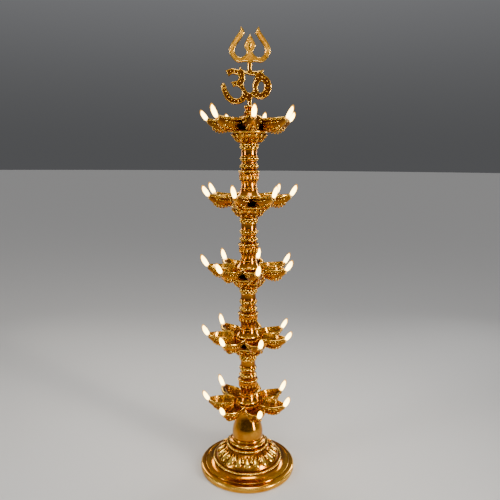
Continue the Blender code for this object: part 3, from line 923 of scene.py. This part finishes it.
# The finial's outline, (across, up) in mm from the pedestal's top, as in the CAD
OM_LEFT = (
    (-3.3, -6.0), (-3.2, 6.0), (-6.0, 8.9), (-8.6, 5.6), (-14.5, 2.6), (-21.5, 1.6), (-27.5, 2.6),
    (-34.4, 7.3), (-39.6, 14.6), (-43.0, 24.5), (-43.5, 30.0), (-41.0, 33.2), (-37.2, 31.0),
    (-33.5, 22.0), (-27.5, 13.7), (-20.7, 10.0), (-14.7, 11.7), (-11.7, 17.2), (-12.7, 22.9),
    (-16.2, 26.2), (-21.5, 28.3), (-24.9, 26.6), (-28.4, 34.3), (-24.0, 35.0), (-18.9, 36.8),
    (-16.8, 40.9), (-18.3, 44.2), (-22.4, 45.2), (-27.5, 45.5), (-31.8, 42.2), (-36.9, 50.8),
    (-27.5, 54.0), (-18.9, 52.6), (-16.4, 52.2), (-15.4, 56.8), (-13.2, 56.2), (-12.0, 53.2),
    (-9.8, 52.0), (-6.6, 50.4), (-3.4, 50.8),
)
OM_RIGHT = (
    (3.4, 51.2), (6.9, 50.3), (15.6, 51.0), (20.7, 53.4), (21.6, 45.8), (28.5, 40.9), (32.9, 32.8),
    (33.3, 25.3), (30.2, 16.3), (24.2, 11.3), (17.2, 9.3), (10.4, 10.3), (5.3, 13.0), (3.9, 8.9),
    (3.3, -6.0),
)
TRIDENT_HALF = (
    (3.4, 63.5), (9.5, 63.6), (17.0, 62.6), (24.6, 66.8), (30.4, 75.0), (31.2, 81.5), (28.9, 88.5),
    (22.0, 98.5), (15.6, 107.5), (13.6, 114.0), (10.2, 110.5), (8.0, 104.8), (13.6, 96.2), (20.8, 86.5),
    (22.8, 79.2), (19.6, 72.4), (13.0, 70.0), (7.2, 73.4), (4.3, 78.0), (9.0, 86.8), (5.0, 95.6),
)
OM_OPENING = (
    (-7.4, 46.8), (0.0, 44.2), (8.4, 43.4), (6.7, 38.5), (4.6, 31.0), (4.9, 23.0), (2.4, 19.2),
    (-1.0, 18.7), (-4.4, 21.2), (-9.0, 31.0), (-6.9, 37.0), (-6.8, 42.2),
)
# Lines of the Om's strokes that carry a row of pearls
STROKES = (
    (
        (-33.6, 47.0), (-27.5, 49.8), (-20.0, 49.2), (-13.6, 44.6), (-12.6, 39.4), (-15.6, 34.2),
        (-24.6, 30.9),
    ),
    (
        (-13.0, 29.6), (-8.6, 24.6), (-7.8, 17.4), (-11.4, 9.4), (-18.5, 5.9), (-26.0, 7.6),
        (-32.9, 13.9), (-37.6, 22.4), (-40.2, 29.8),
    ),
    ((-3.0, 14.6), (4.2, 16.0)),
    ((-8.8, 49.2), (0.0, 47.6), (9.0, 47.0), (17.2, 47.6)),
)
# The oval opening: middle, half axes and lean
OVAL = ((17.2, 27.0), (4.6, 8.4), math.radians(-8))
MIDDLE_TIP = (0.0, 103.4)
# A bend of more than this is a corner
CORNER = math.radians(52)
BORDER = 0.85
BORDER_INSET = 1.15
PEARL_PITCH = 5.2


def rounded(loop, steps=4):
    """A closed outline through its points, smooth except at corners."""
    n = len(loop)
    points = [np.array(p, float) for p in loop]
    sharp = []
    for i in range(n):
        a, b = unit(points[i] - points[i - 1]), unit(points[(i + 1) % n] - points[i])
        sharp.append(math.acos(float(np.clip(np.dot(a, b), -1, 1))) > CORNER)
    if not any(sharp):
        return through(points, steps, closed=True)
    first = sharp.index(True)
    order = [(first + k) % n for k in range(n + 1)]
    line = []
    for k in order:
        line.append(points[k])
        if sharp[k]:
            line.append(points[k])
    curve = through(line[1:-1], steps)
    keep = [i for i in range(len(curve)) if i == 0 or np.linalg.norm(curve[i] - curve[i - 1]) > 1e-3]
    curve = curve[keep]
    return curve[:-1] if np.linalg.norm(curve[0] - curve[-1]) < 1e-3 else curve


def oval(grow=0.0, count=28):
    """The Om's oval opening, or one larger all round."""
    (x, z), (a, b), lean = OVAL
    t = np.arange(count) * TAU / count
    u, v = (a + grow) * np.cos(t), (b + grow) * np.sin(t)
    c, s = math.cos(lean), math.sin(lean)
    return np.stack([x + u * c - v * s, z + u * s + v * c], 1)


def inward(loop, distance):
    """A closed outline moved to its left by a distance."""
    ahead = unit(np.roll(loop, -1, 0) - loop)
    back = unit(loop - np.roll(loop, 1, 0))
    along = unit(ahead + back)
    left = np.stack([-along[:, 1], along[:, 0]], 1)
    spread = np.clip(np.sum(along * ahead, 1), 0.55, 1)
    return loop + left * distance / spread[:, None]


def upright(points, y):
    """(across, up) pairs as points in space, at a depth."""
    return np.stack([points[:, 0], np.full(len(points), y), points[:, 1]], 1)


def signed_area(loop):
    """The area inside a closed outline, above 0 when it runs anticlockwise."""
    x, y = loop[:, 0], loop[:, 1]
    return 0.5 * float(np.sum(x * np.roll(y, -1) - np.roll(x, -1) * y))


def finial_blank(loops):
    """Points and faces of the flat casting inside the first outline and outside the others."""
    curve = bpy.data.curves.new("finial_blank", "CURVE")
    curve.dimensions = "2D"
    curve.fill_mode = "BOTH"
    soft = 0.5
    curve.extrude = FINIAL_THICKNESS / 2 - soft
    curve.bevel_depth = soft
    curve.bevel_resolution = 2
    curve.offset = -soft
    for loop in loops:
        spline = curve.splines.new("POLY")
        spline.points.add(len(loop) - 1)
        for point, (x, z) in zip(spline.points, loop):
            point.co = (x, z, 0, 1)
        spline.use_cyclic_u = True
    blank = put("finial_blank", curve)
    bpy.context.view_layer.update()
    flat = bpy.data.meshes.new_from_object(blank.evaluated_get(bpy.context.evaluated_depsgraph_get()))
    points = np.array([(v.co.x, -v.co.z, v.co.y) for v in flat.vertices])
    faces = [tuple(p.vertices) for p in flat.polygons]
    bpy.data.objects.remove(blank)
    bpy.data.curves.remove(curve)
    bpy.data.meshes.remove(flat)
    return points, faces


def finial_mesh():
    """The Om and trident: a flat casting, with painted shade on the Om and a brighter trident, with raised
    borders on both faces and pearls along the Om's strokes."""
    left = [(-x, z) for x, z in TRIDENT_HALF]
    outer = rounded([*OM_LEFT, *left, MIDDLE_TIP, *reversed(TRIDENT_HALF), *OM_RIGHT])
    loops = [outer, rounded(OM_OPENING), oval()]
    shape = Shape()
    points, faces = finial_blank(loops)
    # Painted shade: low relief on the Om's faces darkens them, while the trident's faces are left brighter.
    om_shade = np.interp(points[:, 2], (55.0, 64.0), (0.08, 0.5))
    shape.patch(points, faces, relief=om_shade, polish=0.3)

    face = FINIAL_THICKNESS / 2
    for k, loop in enumerate(loops):
        way = 1.0 if signed_area(loop) > 0 else -1.0
        way = way if k == 0 else -way
        border = inward(loop, way * BORDER_INSET)
        for y in (-face, face):
            tube(shape, upright(border, y * 0.96), BORDER, relief=1.0, polish=0.9, closed=True)
    lines = [through(stroke, 6) for stroke in STROKES]
    ring = oval(grow=6.2, count=40)
    lines.append(np.concatenate([ring, ring[:1]]))
    for line in lines:
        points, along = even(line, PEARL_PITCH)
        for y in (-1.0, 1.0):
            centres, tangents = upright(points, y * face * 0.97), upright(along, 0.0)
            shape.stamps(BEAD, centres, (0, y, 0), tangents, (1.25, 1.25, 1.05))
    # A small diamond boss on the middle prong
    for y in (-1.0, 1.0):
        shape.stamps(DROP, [(0, y * face * 0.97, 86.4)], (0, y, 0), (0, 0, 1), (6.5, 3.6, 1.6))
    return shape.build("finial", BRASS, weld=False)


WICK_PATH = ((37.0, -13.0), (43.0, -13.4), (50.0, -12.8), (59.0, -7.0), (64.2, -0.9), (67.6, 2.2))

WICK_RADIUS = 1.28
# Turn of the strands in radians for each mm
WICK_TWIST = 0.62


def wick_mesh():
    """A twisted cotton wick of three strands that tapers away into the oil and is burnt at the flame."""
    shape = Shape()
    path = through([(x, 0.0, z) for x, z in WICK_PATH], 9)
    along = travelled(path)
    share = along / along[-1]
    radius = WICK_RADIUS * (0.55 + 0.45 * np.clip(share / 0.2, 0, 1))
    radius = radius * (1 - 0.45 * np.clip((share - 0.86) / 0.14, 0, 1))
    sides = 18
    angles = np.arange(sides) * TAU / sides - (along * WICK_TWIST)[:, None]
    radius = radius[:, None] * (1 + 0.10 * np.cos(3 * angles))
    tube(shape, path, radius, sides, (0, 1, 0), share, caps=True, relief=0.5, polish=0.0)
    return shape.build("wick", COTTON)


FLAME_SPINE = ((64.9, -0.8), (66.9, 1.6), (70.0, 5.9), (72.9, 10.6), (75.0, 15.6))
# Share of the height, and radius there
FLAME_WIDTHS = (
    (0.0, 1.0), (0.06, 1.6), (0.14, 2.5), (0.30, 3.4), (0.46, 3.8), (0.62, 3.8), (0.76, 3.3), (0.87, 2.5),
    (0.95, 1.45), (1.0, 0.25),
)


# How flames differ: height, width, lean outwards, and sway to the side in mm
FLAME_DRAWS = ((0.9, 1.1), (0.84, 0.98), (-0.2, 0.12), (-1.5, 1.0))
FRINGE_GROWTH = 1.18


def flame(shape, azimuth, draws, grow=1.0):
    """One flame on the spout at an azimuth: a leaf-shaped body round a leaning, swaying spine. grow makes
    the fringe round it."""
    tall, wide, lean, sway = draws
    foot = np.array(FLAME_SPINE[0])
    spine = []
    for k, p in enumerate(FLAME_SPINE):
        across, up = (np.array(p) - foot) * tall * (1 + 0.6 * (grow - 1))
        side = sway * (k / (len(FLAME_SPINE) - 1)) ** 2
        spine.append((foot[0] + across * (1 + lean), side, foot[1] + up * (1 - 0.4 * lean)))
    path = through(spine, 5)
    knots = np.array(FLAME_WIDTHS)
    radius = np.interp(np.linspace(0, 1, len(path)), knots[:, 0], knots[:, 1]) * wide * grow
    tube(shape, path @ turning(azimuth), radius, sides=14, relief=0.5, caps=True)


# ---- assembly

piece("foot", foot_mesh(), "stack", ["base_foot"])
piece("bell", bell_mesh(), "stack", ["base_bell"])
tray, cup, stem, wick = plate_mesh(), cup_mesh(), stem_mesh(), wick_mesh()
rng = np.random.default_rng(7)
for number, rim in enumerate(RIMS, start=1):
    body = f"tier_{number}"
    first = math.radians(TIER_TURNS[number - 1] - 90)
    piece(f"tray_{number}", tray, body, [f"tier_{number}_plate"], rim, first)
    flames, fringes = Shape(), Shape()
    for petal in range(PETALS):
        turn = first + petal * 2 * SECTOR
        node = f"tier_{number}_wick_{petal + 1}"
        piece(f"wick_{number}_{petal + 1}", wick, body, [node], rim, turn)
        draws = [rng.uniform(low, high) for low, high in FLAME_DRAWS]
        flame(flames, turn, draws)
        flame(fringes, turn, draws, grow=FRINGE_GROWTH)
    piece(f"flames_{number}", flames.build("flames", FLAME), body, [], rim)
    piece(f"fringes_{number}", fringes.build("fringes", FRINGE), body, [], rim)
    if number > 1:
        piece(f"cup_{number}", cup, "stack", [f"tier_{number}_cup"], rim)
        piece(f"stem_{number - 1}", stem, "stack", [f"stem_{number - 1}"], rim)
piece("pedestal", pedestal_mesh(), "finial", ["finial_pedestal"], RIMS[-1])
piece("finial", finial_mesh(), "finial", ["om_trident"], RIMS[-1] + PEDESTAL_TOP)
for name, node in frame["nodes"].items():
    if not node.hide_render:
        node.data.materials.clear()
        node.data.materials.append(STEEL)


# ---- floor, lights and camera


STUDIO_RADIUS = 30000.0
STUDIO_GAP = 0.2
LAMPS_AIM = (0.0, 0.0, 0.38)


def paper_material():
    """The pale floor."""
    return Nodes("studio_paper").surface({"Base Color": (0.74, 0.725, 0.70), "Roughness": 0.9})


def studio_floor():
    """A wide round floor, a hair below the foot."""
    sides = 96
    angles = np.arange(sides) * TAU / sides
    shape = Shape()
    edge = [(STUDIO_RADIUS * math.cos(a), STUDIO_RADIUS * math.sin(a), -STUDIO_GAP) for a in angles]
    shape.patch(edge, [tuple(range(sides))])
    obj = put("studio", shape.build("studio", paper_material()))


def studio_air(horizon, zenith):
    """Even grey surroundings that brighten overhead."""
    n = Nodes("studio_air", world=True)
    strength = n.remap(n.parts("Generated")["Z"], 0.0, 0.85, horizon, zenith, smooth=True)
    bpy.context.scene.world = n.surface({"Strength": strength, "Color": (0.96, 0.97, 1.0)})


def softbox(name, place, size, power, colour=(1.0, 1.0, 1.0), spread=75):
    """A rectangular lamp that points at the middle of the object. place and size are in metres."""
    light = bpy.data.lights.new(name, "AREA")
    light.shape = "RECTANGLE"
    light.size, light.size_y = size
    light.energy = power
    light.color = colour
    light.spread = math.radians(spread)
    obj = put(name, light)
    obj.location = place
    obj.rotation_euler = (Vector(LAMPS_AIM) - Vector(place)).to_track_quat("-Z", "Y").to_euler()


studio_floor()
studio_air(0.10, 0.40)
softbox("key", (1.15, -0.85, 0.60), (0.20, 0.95), 2.5, (1.0, 0.94, 0.85), spread=58)
softbox("fill", (-1.25, -0.60, 0.64), (0.25, 0.75), 0.7, (0.97, 0.98, 1.0), spread=58)
softbox("rim_left", (-0.9, 0.9, 0.80), (0.25, 0.9), 0.9, (1.0, 0.96, 0.90))
softbox("rim_right", (1.0, 0.9, 0.75), (0.20, 0.9), 1.2)
softbox("face", (0.0, -1.6, 1.10), (0.7, 0.22), 0.17, (1.0, 0.90, 0.70))
softbox("top", (0.1, -0.4, 1.7), (0.6, 0.6), 3.2, spread=120)

# The photo's view, from the fit to its 35 flames: the tiers' pitch is the unit of the distances
VIEW_SIDE = 2.2
VIEW_BACK = 6.9 * PITCH
VIEW_HEIGHT = RIMS[0] + 3.45 * PITCH
VIEW_TILT = math.radians(80)
VIEW_TURN = 0.0065

camera = bpy.data.cameras.new("camera")
camera.sensor_width = 36.0
camera.lens = 36.0
eye = put("camera", camera)
eye.location = (VIEW_SIDE * MM, -VIEW_BACK * MM, VIEW_HEIGHT * MM)
eye.rotation_euler = (Matrix.Rotation(VIEW_TILT, 3, "X") @ Matrix.Rotation(VIEW_TURN, 3, "Z")).to_euler()
bpy.context.scene.camera = eye

display = bpy.context.scene.view_settings
if display.view_transform == "AgX":
    display.look = "AgX - Medium High Contrast"
